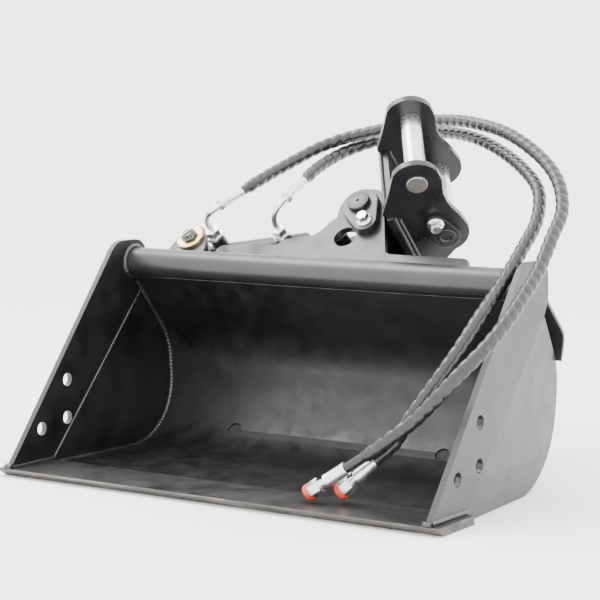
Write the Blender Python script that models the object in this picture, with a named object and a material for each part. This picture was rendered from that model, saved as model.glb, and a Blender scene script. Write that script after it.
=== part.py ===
"""Hydraulic tilting grading bucket for a small excavator, as an assembly of separate pieces.

Bucket coordinates: x across the bucket, y from the lower corner of the cutting edge to the rear, z up from
the ground. The datum empty moves them so that the origin is under the middle of the cutting edge.
Tilt coordinates: x across, y away from the tilt plates' base, z along the tilt axis towards the mouth.
Hanger coordinates: x along the two hanger pins, y from the tilt axis to the pins, z along the tilt axis.
Cylinder coordinates: x along the cylinder from its anchor pin, z along the tilt axis.
"""

import math

import bmesh
import bpy
from mathutils import Matrix, Vector

GAP = 0.0003

# Bucket body
WIDTH = 0.800
STRIP_THICK = 0.010
EDGE_LENGTH = 0.830
EDGE_DEPTH = 0.0905
EDGE_THICK = 0.014
EDGE_OVERHANG = 0.018
SHELL_THICK = 0.006
SIDE_THICK = 0.005
SIDE_RECESS = 0.002
SIDE_TAPER = 0.08
TUBE_Y, TUBE_Z, TUBE_RADIUS, TUBE_WALL = 0.316, 0.332, 0.02415, 0.004
UPPER_RADIUS, HEEL_RADIUS = 0.1124, 0.1155
BACK_Y, HEEL_Z, UPPER_Z = 0.4095, 0.122, 0.150
UPPER_TURN = math.radians(38.7)
SHELL_TOP = (0.3174, 0.3044)
STRIP_HOLE_RADIUS = 0.01125
STRIP_HOLES = ((0.1325, 0.144), (0.1317, 0.0793), (0.0656, 0.0692))
SEAM_TOP, SEAM_BOTTOM = (0.340, 0.284), (0.096, 0.016)
RECESS_RADIUS, RECESS_DEPTH = 0.0125, 0.003
RECESSES = ((-0.2166, 0.3757, 0.0404), (0.2012, 0.3729, 0.0377))
STIFFENER_REACH = 0.3985

# Tilt pivot and plates
PLATE_THICK = 0.012
PIVOT_Y = 0.1635
FRONT_PLATE = (-0.0365, -0.0245)
REAR_PLATE = (-0.1400, -0.1280)
PLATE_BASE = 0.0135
PIN_RADIUS = 0.0175
HUMP_RADIUS = 0.046
ANCHOR = (-0.3175, 0.077)
ANCHOR_RADIUS = 0.010
WASHER_RADIUS = 0.0250
SLOTTED_NUT_AF = 0.0265
ACCESS_HOLE = (-0.006, 0.0995, 0.0205)
BOLT_OFFSET = (0.026, -0.037)

# Hanger
HANGER_ANGLE = math.radians(63.37)
EAR_OUT, EAR_IN = 0.087, 0.075
ARM_PIN = (0.065, 0.1265)
LINK_PIN = (-0.060, 0.131)
BASE_NEAR, BASE_FAR = 0.0555, 0.0675
BASE_FRONT, BASE_REAR = 0.018, -0.188
BOSS_RADIUS = 0.030
LEVER_LENGTH, LEVER_LOW = 0.0635, -0.1215
LEVER_HOLE_RADIUS = 0.026

# Cylinder
CYLINDER_Z = -0.082
CYLINDER_ANGLE = math.radians(12.549)
PIN_TO_PIN = 0.2671
BARREL_RADIUS, BORE_RADIUS, ROD_RADIUS = 0.025, 0.020, 0.0125
EYE_RADIUS, EYE_WIDTH = 0.018, 0.040
LEVER_PIN_RADIUS = 0.0095
BARREL_END = 0.190
PORTS = (0.0485, 0.1695)
NUT_MIDDLE = (-0.0135, -0.033)

# Hoses
HOSE_RADIUS = 0.0107
BARE_HOSE = 0.78
HOSE_STEP = 0.035
ELBOW_RADIUS = 0.0053
FERRULE_RADIUS = 0.0098
ELBOWS = ((0.055, 0.42, 0.42), (0.068, 0.60, 0.50))
END_FERRULES = (((0.0108, 0), (0.0112, 0.0410)), ((0.0088, 0), (0.0112, 0.0300), (0.0112, 0.0410)))
END_FERRULE_LENGTH = 0.052
END_NUT_AF, END_NUT_LENGTH = 0.024, 0.0185
CAP_RADIUS, CAP_LENGTH = 0.0134, 0.009
HOSE_1 = (
    (-0.2167, 0.3995, 0.4551), (-0.2075, 0.4399, 0.4730), (-0.1987, 0.4827, 0.4898), (-0.1847, 0.5215, 0.5071),
    (-0.1677, 0.5565, 0.5242), (-0.1464, 0.5832, 0.5373), (-0.1139, 0.6033, 0.5492), (-0.0569, 0.6141, 0.5620),
    (0.0027, 0.6082, 0.5740), (0.0751, 0.5852, 0.5789), (0.1544, 0.5506, 0.5764), (0.2448, 0.5062, 0.5603),
    (0.3241, 0.4638, 0.5269), (0.3802, 0.4197, 0.4890), (0.4112, 0.3734, 0.4455), (0.4216, 0.3166, 0.4051),
    (0.4268, 0.2654, 0.3622), (0.4306, 0.2132, 0.3303), (0.4315, 0.1543, 0.2947), (0.4198, 0.1080, 0.2584),
    (0.3904, 0.0801, 0.2187), (0.3580, 0.0686, 0.1810), (0.3267, 0.0643, 0.1493), (0.2999, 0.0518, 0.1260),
    (0.2742, 0.0477, 0.1060), (0.2497, 0.0466, 0.0894), (0.2242, 0.0434, 0.0719),
)
HOSE_2 = (
    (-0.1390, 0.4780, 0.4726), (-0.1426, 0.5200, 0.4901), (-0.1404, 0.5627, 0.5060), (-0.1301, 0.5981, 0.5200),
    (-0.1086, 0.6240, 0.5320), (-0.0748, 0.6416, 0.5429), (-0.0212, 0.6470, 0.5528), (0.0554, 0.6237, 0.5577),
    (0.1400, 0.5809, 0.5506), (0.2172, 0.5349, 0.5305), (0.2919, 0.4780, 0.5014), (0.3430, 0.4281, 0.4694),
    (0.3644, 0.3792, 0.4265), (0.3682, 0.3256, 0.3875), (0.3687, 0.2844, 0.3575), (0.3690, 0.2388, 0.3266),
    (0.3676, 0.1865, 0.2917), (0.3580, 0.1469, 0.2513), (0.3402, 0.1231, 0.2129), (0.3193, 0.1049, 0.1755),
    (0.3015, 0.0903, 0.1441), (0.2850, 0.0745, 0.1065), (0.2590, 0.0697, 0.0820),
)


def clear_scene():
    for item in list(bpy.data.objects):
        bpy.data.objects.remove(item, do_unlink=True)


def material(name, colour, roughness, metallic):
    made = bpy.data.materials.new(name)
    made.use_nodes = True
    shader = made.node_tree.nodes["Principled BSDF"]
    shader.inputs["Base Color"].default_value = (*colour, 1)
    shader.inputs["Roughness"].default_value = roughness
    shader.inputs["Metallic"].default_value = metallic
    return made


def empty(name, location, turn, parent=None):
    made = bpy.data.objects.new(name, None)
    made.location = location
    made.rotation_euler = turn
    made.parent = parent
    bpy.context.scene.collection.objects.link(made)
    return made


def link(name, mesh, parent, look):
    mesh.materials.append(look)
    made = bpy.data.objects.new(name, mesh)
    made.parent = parent
    bpy.context.scene.collection.objects.link(made)
    return made


def finish_mesh(name, bm, parent, look, smooth=True):
    bmesh.ops.recalc_face_normals(bm, faces=bm.faces)
    mesh = bpy.data.meshes.new(name)
    bm.to_mesh(mesh)
    bm.free()
    if smooth:
        mesh.shade_smooth()
        mesh.set_sharp_from_angle(angle=math.radians(35))
    return link(name, mesh, parent, look)


def arc(centre, radius, start, end, steps):
    """Points on an arc, from start to end in degrees."""
    points = []
    for step in range(steps + 1):
        angle = math.radians(start + (end - start) * step / steps)
        points.append((centre[0] + radius * math.cos(angle), centre[1] + radius * math.sin(angle)))
    return points


def circle(centre, radius, steps=32):
    return arc(centre, radius, 0, 360 - 360 / steps, steps - 1)


def hexagon(across_flats):
    return circle((0, 0), across_flats / math.sqrt(3), 6)


def flat(u, v, w):
    return (u, v, w)


def across(u, v, w):
    """Outline in y and z, thickness along x."""
    return (w, u, v)


def ear_plane(u, v, w):
    """Outline in z (along the tilt axis) and y, thickness along x."""
    return (w, v, u)


def prism(name, outline, low, high, parent, look, holes=(), place=flat, shift=None):
    """An extruded outline with holes. shift moves each point sideways, which gives a bent plate."""
    bm = bmesh.new()
    edges = []
    for loop in (outline, *holes):
        corners = [bm.verts.new((u, v, 0)) for u, v in loop]
        edges += [bm.edges.new((a, b)) for a, b in zip(corners, corners[1:] + corners[:1])]
    bmesh.ops.triangle_fill(bm, use_beauty=True, use_dissolve=False, edges=edges)
    made = bmesh.ops.extrude_face_region(bm, geom=list(bm.faces))
    top = {item for item in made["geom"] if isinstance(item, bmesh.types.BMVert)}
    for corner in bm.verts:
        u, v = corner.co.x, corner.co.y
        w = high if corner in top else low
        if shift:
            w += shift(u, v)
        corner.co = place(u, v, w)
    return finish_mesh(name, bm, parent, look)


def turned(name, profile, parent, look, steps=40, base=(0, 0, 0), axis=(0, 0, 1)):
    """A profile of (radius, height) turned about an axis through base. A profile on the axis makes a solid."""
    bm = bmesh.new()
    corners = [bm.verts.new((radius, 0, height)) for radius, height in profile]
    edges = [bm.edges.new((a, b)) for a, b in zip(corners, corners[1:])]
    if profile[0][0] > 0 and profile[-1][0] > 0:
        edges.append(bm.edges.new((corners[-1], corners[0])))
    bmesh.ops.spin(bm, geom=corners + edges, cent=(0, 0, 0), axis=(0, 0, 1), angle=math.tau,
                   steps=steps, use_merge=True)
    bmesh.ops.remove_doubles(bm, verts=bm.verts, dist=1e-6)
    turn = Vector(axis).to_track_quat("Z", "Y").to_matrix().to_4x4()
    bmesh.ops.transform(bm, matrix=Matrix.Translation(base) @ turn, verts=bm.verts)
    return finish_mesh(name, bm, parent, look)


def ring(name, inner, outer, low, high, parent, look, base=(0, 0), steps=32):
    profile = ((outer, low), (outer, high), (inner, high), (inner, low))
    return turned(name, profile, parent, look, steps, (base[0], base[1], 0))


def rod_profile(radius, low, high, chamfer=0.0015):
    return ((0, low), (radius - chamfer, low), (radius, low + chamfer), (radius, high - chamfer),
            (radius - chamfer, high), (0, high))


def hex_piece(name, across_flats, bore, low, high, parent, look, base=(0, 0, 0), axis=(0, 0, 1)):
    """A hexagon with a bore, or solid where bore is 0, along an axis through base."""
    holes = (circle((0, 0), bore, 24),) if bore else ()
    made = prism(name, hexagon(across_flats), low, high, parent, look, holes)
    made.data.transform(Matrix.Translation(base) @ Vector(axis).to_track_quat("Z", "Y").to_matrix().to_4x4())
    return made


def catmull_rom(points, spacing):
    """Evenly spaced points on a smooth curve through the route's points."""
    fine = []
    padded = [2 * points[0] - points[1], *points, 2 * points[-1] - points[-2]]
    for a, b, c, d in zip(padded, padded[1:], padded[2:], padded[3:]):
        for step in range(24):
            t = step / 24
            fine.append(0.5 * (2 * b + (c - a) * t + (2 * a - 5 * b + 4 * c - d) * t * t
                               + (3 * b - a - 3 * c + d) * t ** 3))
    fine.append(points[-1])
    lengths = [0]
    for a, b in zip(fine, fine[1:]):
        lengths.append(lengths[-1] + (b - a).length)
    count = max(2, round(lengths[-1] / spacing))
    even, place = [], 0
    for step in range(count + 1):
        target = lengths[-1] * step / count
        while place < len(fine) - 2 and lengths[place + 1] < target:
            place += 1
        share = (target - lengths[place]) / (lengths[place + 1] - lengths[place])
        even.append(fine[place].lerp(fine[place + 1], share))
    return even


def tube_curve(name, points, radius, parent, look, resolution=2):
    curve = bpy.data.curves.new(name, "CURVE")
    curve.dimensions = "3D"
    curve.bevel_depth = radius
    curve.bevel_resolution = resolution
    curve.use_fill_caps = True
    spline = curve.splines.new("POLY")
    spline.points.add(len(points) - 1)
    for target, point in zip(spline.points, points):
        target.co = (*point, 1)
    curve.materials.append(look)
    made = bpy.data.objects.new(name, curve)
    made.parent = parent
    bpy.context.scene.collection.objects.link(made)
    return made


def seam_distance(y, z):
    """How far a point of the side lies behind the seam between strip and side plate."""
    along = Vector((SEAM_TOP[0] - SEAM_BOTTOM[0], SEAM_TOP[1] - SEAM_BOTTOM[1])).normalized()
    return max(0.0, (y - SEAM_BOTTOM[0]) * along.y - (z - SEAM_BOTTOM[1]) * along.x)


def shell_line(outward):
    """The shell's side view, a set distance outside its inner face, from the torque tube to the floor."""
    turn = math.degrees(UPPER_TURN)
    normal = (math.cos(UPPER_TURN), math.sin(UPPER_TURN))
    points = [(SHELL_TOP[0] + outward * normal[0], SHELL_TOP[1] + outward * normal[1])]
    points += arc((BACK_Y - UPPER_RADIUS, UPPER_Z), UPPER_RADIUS + outward, turn, 0, 6)
    heel = (BACK_Y - HEEL_RADIUS, HEEL_Z)
    points += arc(heel, HEEL_RADIUS + outward, 0, -90, 12)
    points.append((EDGE_DEPTH + GAP, heel[1] - HEEL_RADIUS - outward))
    return points


def add_shell(parent, look):
    """Bent sheet between the side plates, whose taper its ends follow, with two shallow round recesses."""
    half = WIDTH / 2 - SIDE_RECESS - SIDE_THICK - GAP
    inner, outer = shell_line(0), shell_line(SHELL_THICK)
    bm = bmesh.new()
    rows = []
    for y, z in inner + outer[::-1]:
        reach = min(WIDTH / 2 - STRIP_THICK - GAP, half - SIDE_TAPER * seam_distance(y, z))
        rows.append((bm.verts.new((-reach, y, z)), bm.verts.new((reach, y, z))))
    for (a, b), (c, d) in zip(rows, rows[1:] + rows[:1]):
        bm.faces.new((a, b, d, c))
    last = len(rows) - 1
    for side in (0, 1):
        for step in range(len(inner) - 1):
            bm.faces.new((rows[step][side], rows[step + 1][side], rows[last - step - 1][side],
                          rows[last - step][side]))
    shell = finish_mesh("shell", bm, parent, look)
    heel = Vector((0, BACK_Y - HEEL_RADIUS, HEEL_Z))
    for number, (x, y, z) in enumerate(RECESSES):
        outward = (Vector((0, y, z)) - heel).normalized()
        seat = heel + outward * HEEL_RADIUS
        cutter = turned(f"recess_cutter_{number}", rod_profile(RECESS_RADIUS, -0.03, RECESS_DEPTH, 0.0001), parent,
                        look, 32, (x, seat.y, seat.z), outward)
        cutter.hide_render = True
        cutter.display_type = "WIRE"
        cut = shell.modifiers.new("recess", "BOOLEAN")
        cut.operation = "DIFFERENCE"
        cut.object = cutter


def add_sides(parent, look):
    plate_outline = [(SEAM_TOP[0] + 0.0012, SEAM_TOP[1] - 0.0012), (0.3473, 0.2788)]
    plate_outline += shell_line(SHELL_THICK)[2:-1]
    plate_outline += [(EDGE_DEPTH + 0.009, HEEL_Z - HEEL_RADIUS - SHELL_THICK), (SEAM_BOTTOM[0] + 0.0032, 0.0152)]
    strip_outline = [(-0.0135, EDGE_THICK + GAP), (0.0945, EDGE_THICK + GAP), SEAM_BOTTOM, SEAM_TOP, (0.3525, 0.3055)]
    strip_outline += arc((0.3225, 0.340), 0.030, 0, 90, 6) + arc((0.288, 0.330), 0.040, 90, 142, 5)
    middle = WIDTH / 2 - STRIP_THICK
    for side, name in ((-1, "left"), (1, "right")):
        low, high = sorted((side * middle, side * WIDTH / 2))
        holes = [circle(centre, STRIP_HOLE_RADIUS, 24) for centre in STRIP_HOLES]
        prism(f"{name}_side_strip", strip_outline, low, high, parent, look, holes, across)
        face = WIDTH / 2 - SIDE_RECESS
        low, high = sorted((side * (face - SIDE_THICK), side * face))
        prism(f"{name}_side_plate", plate_outline, low, high, parent, look, (), across,
              lambda y, z, side=side: -side * SIDE_TAPER * seam_distance(y, z))


def add_bucket_body(parent, paint, worn):
    add_shell(parent, paint)
    add_sides(parent, paint)
    reach = WIDTH / 2 - STRIP_THICK - GAP
    tube = ((TUBE_RADIUS, -reach), (TUBE_RADIUS, reach), (TUBE_RADIUS - TUBE_WALL, reach),
            (TUBE_RADIUS - TUBE_WALL, -reach))
    turned("torque_tube", tube, parent, paint, 48, (0, TUBE_Y, TUBE_Z), (1, 0, 0))
    edge = ((0, 0), (EDGE_DEPTH, 0), (EDGE_DEPTH, EDGE_THICK), (-EDGE_OVERHANG, EDGE_THICK),
            (-EDGE_OVERHANG, EDGE_THICK - 0.0025))
    prism("cutting_edge", edge, -EDGE_LENGTH / 2, EDGE_LENGTH / 2, parent, worn, (), across)
    outer = [(0.3574, 0.3039), (0.4075, 0.2572), (0.4150, 0.2480), (0.4168, 0.2374), (0.4145, 0.2240),
             (0.4075, 0.2030)]
    inner = [(0.4036, 0.2046), (0.4090, 0.2255), (0.4110, 0.2375), (0.4100, 0.2450), (0.4034, 0.2530),
             (0.3534, 0.2996)]
    prism("rear_stiffener", outer + inner, -STIFFENER_REACH, STIFFENER_REACH, parent, paint, (), across)


def front_plate_outline():
    """Left rounded end, rising top edge with a dip for the port, pivot hump, notch, low right arm."""
    points = [(-0.2530, PLATE_BASE), (0.2471, PLATE_BASE), (0.2471, 0.0517)]
    points += arc((0.2341, 0.0537), 0.0130, 0, 90, 5)
    points += [(0.0984, 0.0672), (0.0905, 0.0684), (0.0850, 0.0716), (0.0826, 0.0770), (0.0500, 0.1490)]
    points += arc((0, PIVOT_Y), HUMP_RADIUS, -3, 206, 22)
    points += [(-0.0515, 0.1300), (-0.0570, 0.1185), (-0.0625, 0.1085), (-0.0710, 0.1000), (-0.0990, 0.0935),
               (-0.1280, 0.0870), (-0.1330, 0.0745), (-0.1710, 0.0745), (-0.1770, 0.0772), (-0.2247, 0.0682)]
    points += arc((-0.2380, 0.0532), 0.0150, 80, 180, 5)
    return points


def rear_plate_outline():
    points = [(-0.2200, PLATE_BASE), (0.2200, PLATE_BASE), (0.2200, 0.0500), (0.2050, 0.0660), (0.0984, 0.0672),
              (0.0826, 0.0770), (0.0500, 0.1490)]
    points += arc((0, PIVOT_Y), HUMP_RADIUS, -3, 206, 22)
    points += [(-0.0600, 0.1090), (-0.1200, 0.0760), (-0.2050, 0.0600), (-0.2200, 0.0450)]
    return points


def add_tilt_frame(tilt, paint, bright, zinc, yellow):
    pivot = (0, PIVOT_Y)
    bolt = (BOLT_OFFSET[0], PIVOT_Y + BOLT_OFFSET[1])
    pin_hole = circle(pivot, PIN_RADIUS + GAP, 40)
    front_holes = (pin_hole, circle(bolt, 0.0063, 20), circle(ACCESS_HOLE[:2], ACCESS_HOLE[2], 32))
    prism("front_tilt_plate", front_plate_outline(), *FRONT_PLATE, tilt, paint, front_holes)
    prism("rear_tilt_plate", rear_plate_outline(), *REAR_PLATE, tilt, paint, (pin_hole,))
    lug = [(-0.3560, PLATE_BASE), (-0.2780, PLATE_BASE), (-0.2780, 0.0600), (-0.2870, 0.0800)]
    lug += arc(ANCHOR, 0.030, 12, 168, 12) + [(-0.3530, 0.0560)]
    for name, (low, high) in (("front_anchor_lug", FRONT_PLATE), ("rear_anchor_lug", REAR_PLATE)):
        prism(name, lug, low, high, tilt, paint, (circle(ANCHOR, ANCHOR_RADIUS + GAP, 32),))
    brace = ((0.160, PLATE_BASE), (0.172, PLATE_BASE), (0.172, 0.052), (0.160, 0.052))
    prism("tilt_plate_brace", brace, REAR_PLATE[1] + GAP, FRONT_PLATE[0] - GAP, tilt, paint)

    shaft = ((0, -0.149), (0.0155, -0.149), (PIN_RADIUS, -0.147), (PIN_RADIUS, -0.0102), (0.0195, -0.0102),
             (0.0200, -0.0035), (0.0185, -0.0020), (0.0022, -0.0020), (0.0022, -0.0050), (0, -0.0050))
    turned("main_pivot_pin", shaft, tilt, paint, 40, (*pivot, 0))
    big, small = 0.0335, 0.0215
    away = math.atan2(BOLT_OFFSET[1], BOLT_OFFSET[0])
    lean = math.acos((big - small) / math.hypot(*BOLT_OFFSET))
    start, end = math.degrees(away - lean), math.degrees(away + lean)
    retainer = arc(bolt, small, start, end, 14) + arc(pivot, big, end, start + 360, 26)
    prism("pivot_retainer", retainer, FRONT_PLATE[1] + GAP, -0.0105, tilt, paint,
          (pin_hole, circle(bolt, 0.0063, 20)))
    add_flange_bolt("pivot_retainer_bolt", tilt, zinc, (*bolt, -0.0105 + GAP), (0, 0, 1), 0.024)

    turned("anchor_pin", ((0, -0.1490), (0.0150, -0.1490), (0.0150, -0.1403), (ANCHOR_RADIUS, -0.1403),
                          (ANCHOR_RADIUS, -0.0075), (0.0090, -0.0065), (0, -0.0065)), tilt, bright, 32, (*ANCHOR, 0))
    inner_low = FRONT_PLATE[1] + GAP
    for name, low in (("anchor_washer_inner", inner_low), ("anchor_washer_outer", inner_low + 0.0033)):
        ring(name, ANCHOR_RADIUS + GAP, WASHER_RADIUS, low, low + 0.0030, tilt, yellow, ANCHOR)
    add_slotted_nut("anchor_nut", tilt, bright)
    for name, low, high in (("anchor_spacer_front", CYLINDER_Z + EYE_WIDTH / 2 + GAP, FRONT_PLATE[0] - GAP),
                            ("anchor_spacer_rear", REAR_PLATE[1] + GAP, CYLINDER_Z - EYE_WIDTH / 2 - GAP)):
        ring(name, ANCHOR_RADIUS + GAP, 0.0170, low, high, tilt, bright, ANCHOR)
    cotter = [Vector((ANCHOR[0] + 0.013, ANCHOR[1] + 0.0165, -0.0052)),
              Vector((ANCHOR[0] + 0.004, ANCHOR[1] + 0.004, -0.0052)),
              Vector((ANCHOR[0] - 0.006, ANCHOR[1] - 0.010, -0.0052)),
              Vector((ANCHOR[0] - 0.012, ANCHOR[1] - 0.0175, -0.0060))]
    tube_curve("anchor_cotter", cotter, 0.0011, tilt, bright)


def add_slotted_nut(name, tilt, look):
    """The nut on the anchor pin, bored for it."""
    bore = circle((0, 0), ANCHOR_RADIUS + GAP, 24)
    made = prism(name, hexagon(SLOTTED_NUT_AF), -0.0170, -0.0088, tilt, look, (bore,))
    made.data.transform(Matrix.Translation((*ANCHOR, 0)))


def hex_turned(name, profile, parent, look, base, axis=(0, 0, 1), round_rows=0):
    """A stepped solid along an axis, from rows of (radius over corners, height). The first rows can be round."""
    steps = 24
    bm = bmesh.new()
    made = []
    for number, (radius, height) in enumerate(profile):
        row = []
        for k in range(steps):
            angle = math.tau * k / steps
            off_flat = (angle + math.pi / 6) % (math.pi / 3) - math.pi / 6
            reach = radius if number < round_rows else radius * math.cos(math.pi / 6) / math.cos(off_flat)
            row.append(bm.verts.new((math.cos(angle) * reach, math.sin(angle) * reach, height)))
        made.append(row)
    for low, high in zip(made, made[1:]):
        for k in range(steps):
            bm.faces.new((low[k], low[(k + 1) % steps], high[(k + 1) % steps], high[k]))
    bm.faces.new(made[0][::-1])
    bm.faces.new(made[-1])
    turn = Vector(axis).to_track_quat("Z", "Y").to_matrix().to_4x4()
    bmesh.ops.transform(bm, matrix=Matrix.Translation(base) @ turn, verts=bm.verts)
    return finish_mesh(name, bm, parent, look)


def add_flange_bolt(name, parent, look, seat, axis, shank):
    """A hexagon flange bolt in one piece. Its flange sits on seat, and its shank goes back from there."""
    profile = ((0.0060, -shank), (0.0060, 0), (0.0140, 0), (0.0140, 0.0018), (0.0112, 0.0042), (0.0104, 0.0042),
               (0.0104, 0.0125), (0.0095, 0.0138))
    hex_turned(name, profile, parent, look, seat, axis, 5)


def ear_outline():
    """Front foot, arm pin lobe, saddle, link pin lobe, long slope to the rear foot. In (z, y)."""
    points = [(0.0255, 0.0505), (0.0550, 0.0706), (0.0980, 0.0970)]
    points += arc((0.0665, 0.1255), 0.0425, -42, 75, 10)
    points += [(0.0570, 0.1670), (0.0285, 0.1590), (0.0080, 0.1585), (-0.0070, 0.1610), (-0.0300, 0.1680)]
    points += arc((-0.0560, 0.1290), 0.0430, 88, 172, 8)
    points += [(-0.1145, 0.1120), (-0.1800, 0.0740), (-0.1850, 0.0679)]
    points += [(BASE_FRONT + GAP, 0.0679), (BASE_FRONT + GAP, 0.0505)]
    return points


def add_hanger(hanger, paint, bright, zinc, bronze):
    ear_holes = (circle(ARM_PIN, PIN_RADIUS + GAP, 40), circle(LINK_PIN, PIN_RADIUS + GAP, 40))
    bolt = (-0.0250, 0.1250)
    near_holes = (*ear_holes, circle(bolt, 0.0063, 20))
    prism("near_ear", ear_outline(), EAR_IN, EAR_OUT, hanger, paint, near_holes, ear_plane)
    prism("far_ear", ear_outline(), -EAR_OUT, -EAR_IN, hanger, paint, ear_holes, ear_plane)
    base = ((-0.096, BASE_REAR), (0.096, BASE_REAR), (0.096, BASE_FRONT), (-0.096, BASE_FRONT))
    prism("hanger_base_plate", base, BASE_NEAR, BASE_FAR, hanger, paint, (), lambda u, v, w: (u, w, v))

    turned("arm_pin", rod_profile(PIN_RADIUS, -0.0900, 0.0900), hanger, bright, 40,
           (0, ARM_PIN[1], ARM_PIN[0]), (1, 0, 0))
    link = ((0, -0.0900), (0.0160, -0.0900), (PIN_RADIUS, -0.0885), (PIN_RADIUS, 0.0935), (0.0160, 0.0950),
            (0.0080, 0.0950), (0.0060, 0.0925), (0, 0.0925))
    turned("link_pin", link, hanger, bright, 40, (0, LINK_PIN[1], LINK_PIN[0]), (1, 0, 0))
    big, small = 0.0250, 0.0165
    offset = (bolt[0] - LINK_PIN[0], bolt[1] - LINK_PIN[1])
    away = math.atan2(offset[1], offset[0])
    lean = math.acos((big - small) / math.hypot(*offset))
    start, end = math.degrees(away - lean), math.degrees(away + lean)
    plate = arc(bolt, small, start, end, 12) + arc(LINK_PIN, big, end, start + 360, 22)
    prism("link_pin_retainer", plate, EAR_OUT + GAP, EAR_OUT + 0.0065, hanger, paint,
          (ear_holes[1], circle(bolt, 0.0063, 20)), ear_plane)
    add_flange_bolt("link_pin_bolt", hanger, zinc, (EAR_OUT + 0.0065 + GAP, bolt[1], bolt[0]), (1, 0, 0), 0.016)

    boss_low, boss_high = REAR_PLATE[1] + 0.0010, FRONT_PLATE[0] - 0.0010
    ring("pivot_boss", 0.0215, BOSS_RADIUS, boss_low, boss_high, hanger, paint, steps=40)
    for name, low, high in (("front_bush", boss_high - 0.028, boss_high), ("rear_bush", boss_low, boss_low + 0.028)):
        ring(name, PIN_RADIUS + GAP, 0.0215 - GAP, low, high, hanger, bronze, steps=40)
    web = [(-0.0200, BASE_NEAR - GAP), (-0.0200, 0.0232)] + arc((0, 0), BOSS_RADIUS + GAP, 131, 49, 8)
    web += [(0.0200, 0.0232), (0.0200, BASE_NEAR - GAP)]
    prism("pivot_boss_web", web, boss_low + 0.004, boss_high - 0.004, hanger, paint)
    lean = math.degrees(math.asin(0.006 / LEVER_LENGTH))
    lever = arc((0, -LEVER_LENGTH), 0.0360, 180 + lean, 360 - lean, 18)
    lever += [(0.0355, -0.0200), (0.0355, 0)] + arc((0, 0), BOSS_RADIUS + GAP, 0, -180, 18)
    lever += [(-0.0355, 0), (-0.0355, -0.0200)]
    prism("lever_plate", lever, LEVER_LOW, LEVER_LOW + PLATE_THICK, hanger, paint,
          (circle((0, -LEVER_LENGTH), LEVER_HOLE_RADIUS, 32),))


def add_cylinder(cylinder, paint, chrome, rubber, bright, zinc):
    half = EYE_WIDTH / 2
    ring("cylinder_base_eye", ANCHOR_RADIUS + GAP, 0.0220, -half, half, cylinder, paint)
    barrel = ((0, 0.0226), (BARREL_RADIUS, 0.0226), (BARREL_RADIUS, BARREL_END), (BORE_RADIUS, BARREL_END),
              (BORE_RADIUS, 0.0340), (0, 0.0340))
    turned("cylinder_barrel", barrel, cylinder, paint, 40, (0, 0, 0), (1, 0, 0))
    gland = ((ROD_RADIUS + GAP, 0.1750), (BORE_RADIUS - GAP, 0.1750), (BORE_RADIUS - GAP, BARREL_END + GAP),
             (BARREL_RADIUS, BARREL_END + GAP), (BARREL_RADIUS, 0.2050), (ROD_RADIUS + GAP, 0.2050))
    turned("cylinder_gland", gland, cylinder, paint, 40, (0, 0, 0), (1, 0, 0))
    for number, (along, middle) in enumerate(zip(PORTS, NUT_MIDDLE), 1):
        height = middle - CYLINDER_Z
        base = BARREL_RADIUS + GAP
        turned(f"port_boss_{number}", ((0.0040, base), (0.0138, base), (0.0138, height - 0.0153),
                                       (0.0040, height - 0.0153)), cylinder, paint, 24, (along, 0, 0))
        fitting = ((0.0165, height - 0.0150), (0.0165, height - 0.0080), (0.0118, height - 0.0076),
                   (0.0118, height - 0.0066), (0.0140, height - 0.0062), (0.0140, height + 0.0058),
                   (0.0118, height + 0.0070))
        hex_turned(f"port_nut_{number}", fitting, cylinder, zinc, (along, 0, 0))

    rod_end = PIN_TO_PIN - EYE_RADIUS - GAP
    turned("piston", ((0, 0.0420), (BORE_RADIUS - GAP, 0.0420), (BORE_RADIUS - GAP, 0.0480), (0.0170, 0.0480),
                      (0.0170, 0.0560), (BORE_RADIUS - GAP, 0.0560), (BORE_RADIUS - GAP, 0.0620), (0, 0.0620)),
           cylinder, bright, 32, (0, 0, 0), (1, 0, 0))
    turned("piston_seal", ((0.0173, 0.0483), (BORE_RADIUS - GAP, 0.0483), (BORE_RADIUS - GAP, 0.0557),
                           (0.0173, 0.0557)), cylinder, rubber, 32, (0, 0, 0), (1, 0, 0))
    turned("piston_rod", rod_profile(ROD_RADIUS, 0.0623, rod_end), cylinder, chrome, 32, (0, 0, 0), (1, 0, 0))
    ring("rod_eye", LEVER_PIN_RADIUS + GAP, EYE_RADIUS, -half, half, cylinder, paint, (PIN_TO_PIN, 0))
    rear = LEVER_LOW - CYLINDER_Z
    lever_pin = ((0, rear - 0.0040), (LEVER_PIN_RADIUS, rear - 0.0040), (LEVER_PIN_RADIUS, half + GAP),
                 (0.0140, half + GAP), (0.0140, half + 0.0040), (0, half + 0.0040))
    turned("lever_pin", lever_pin, cylinder, bright, 32, (PIN_TO_PIN, 0, 0))


def to_bucket(x, y, z):
    """A point in tilt coordinates, in bucket coordinates."""
    return Matrix.Translation((0, TUBE_Y, TUBE_Z)) @ Matrix.Rotation(math.radians(45), 4, "X") @ Vector((x, y, z))


def port_exit(along, middle):
    """The top of a port nut and the direction in which its elbow leaves it, in bucket coordinates."""
    x = ANCHOR[0] + along * math.cos(CYLINDER_ANGLE)
    y = ANCHOR[1] + along * math.sin(CYLINDER_ANGLE)
    low = to_bucket(x, y, middle)
    high = to_bucket(x, y, middle + 0.0070)
    return high, (high - low).normalized()


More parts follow.
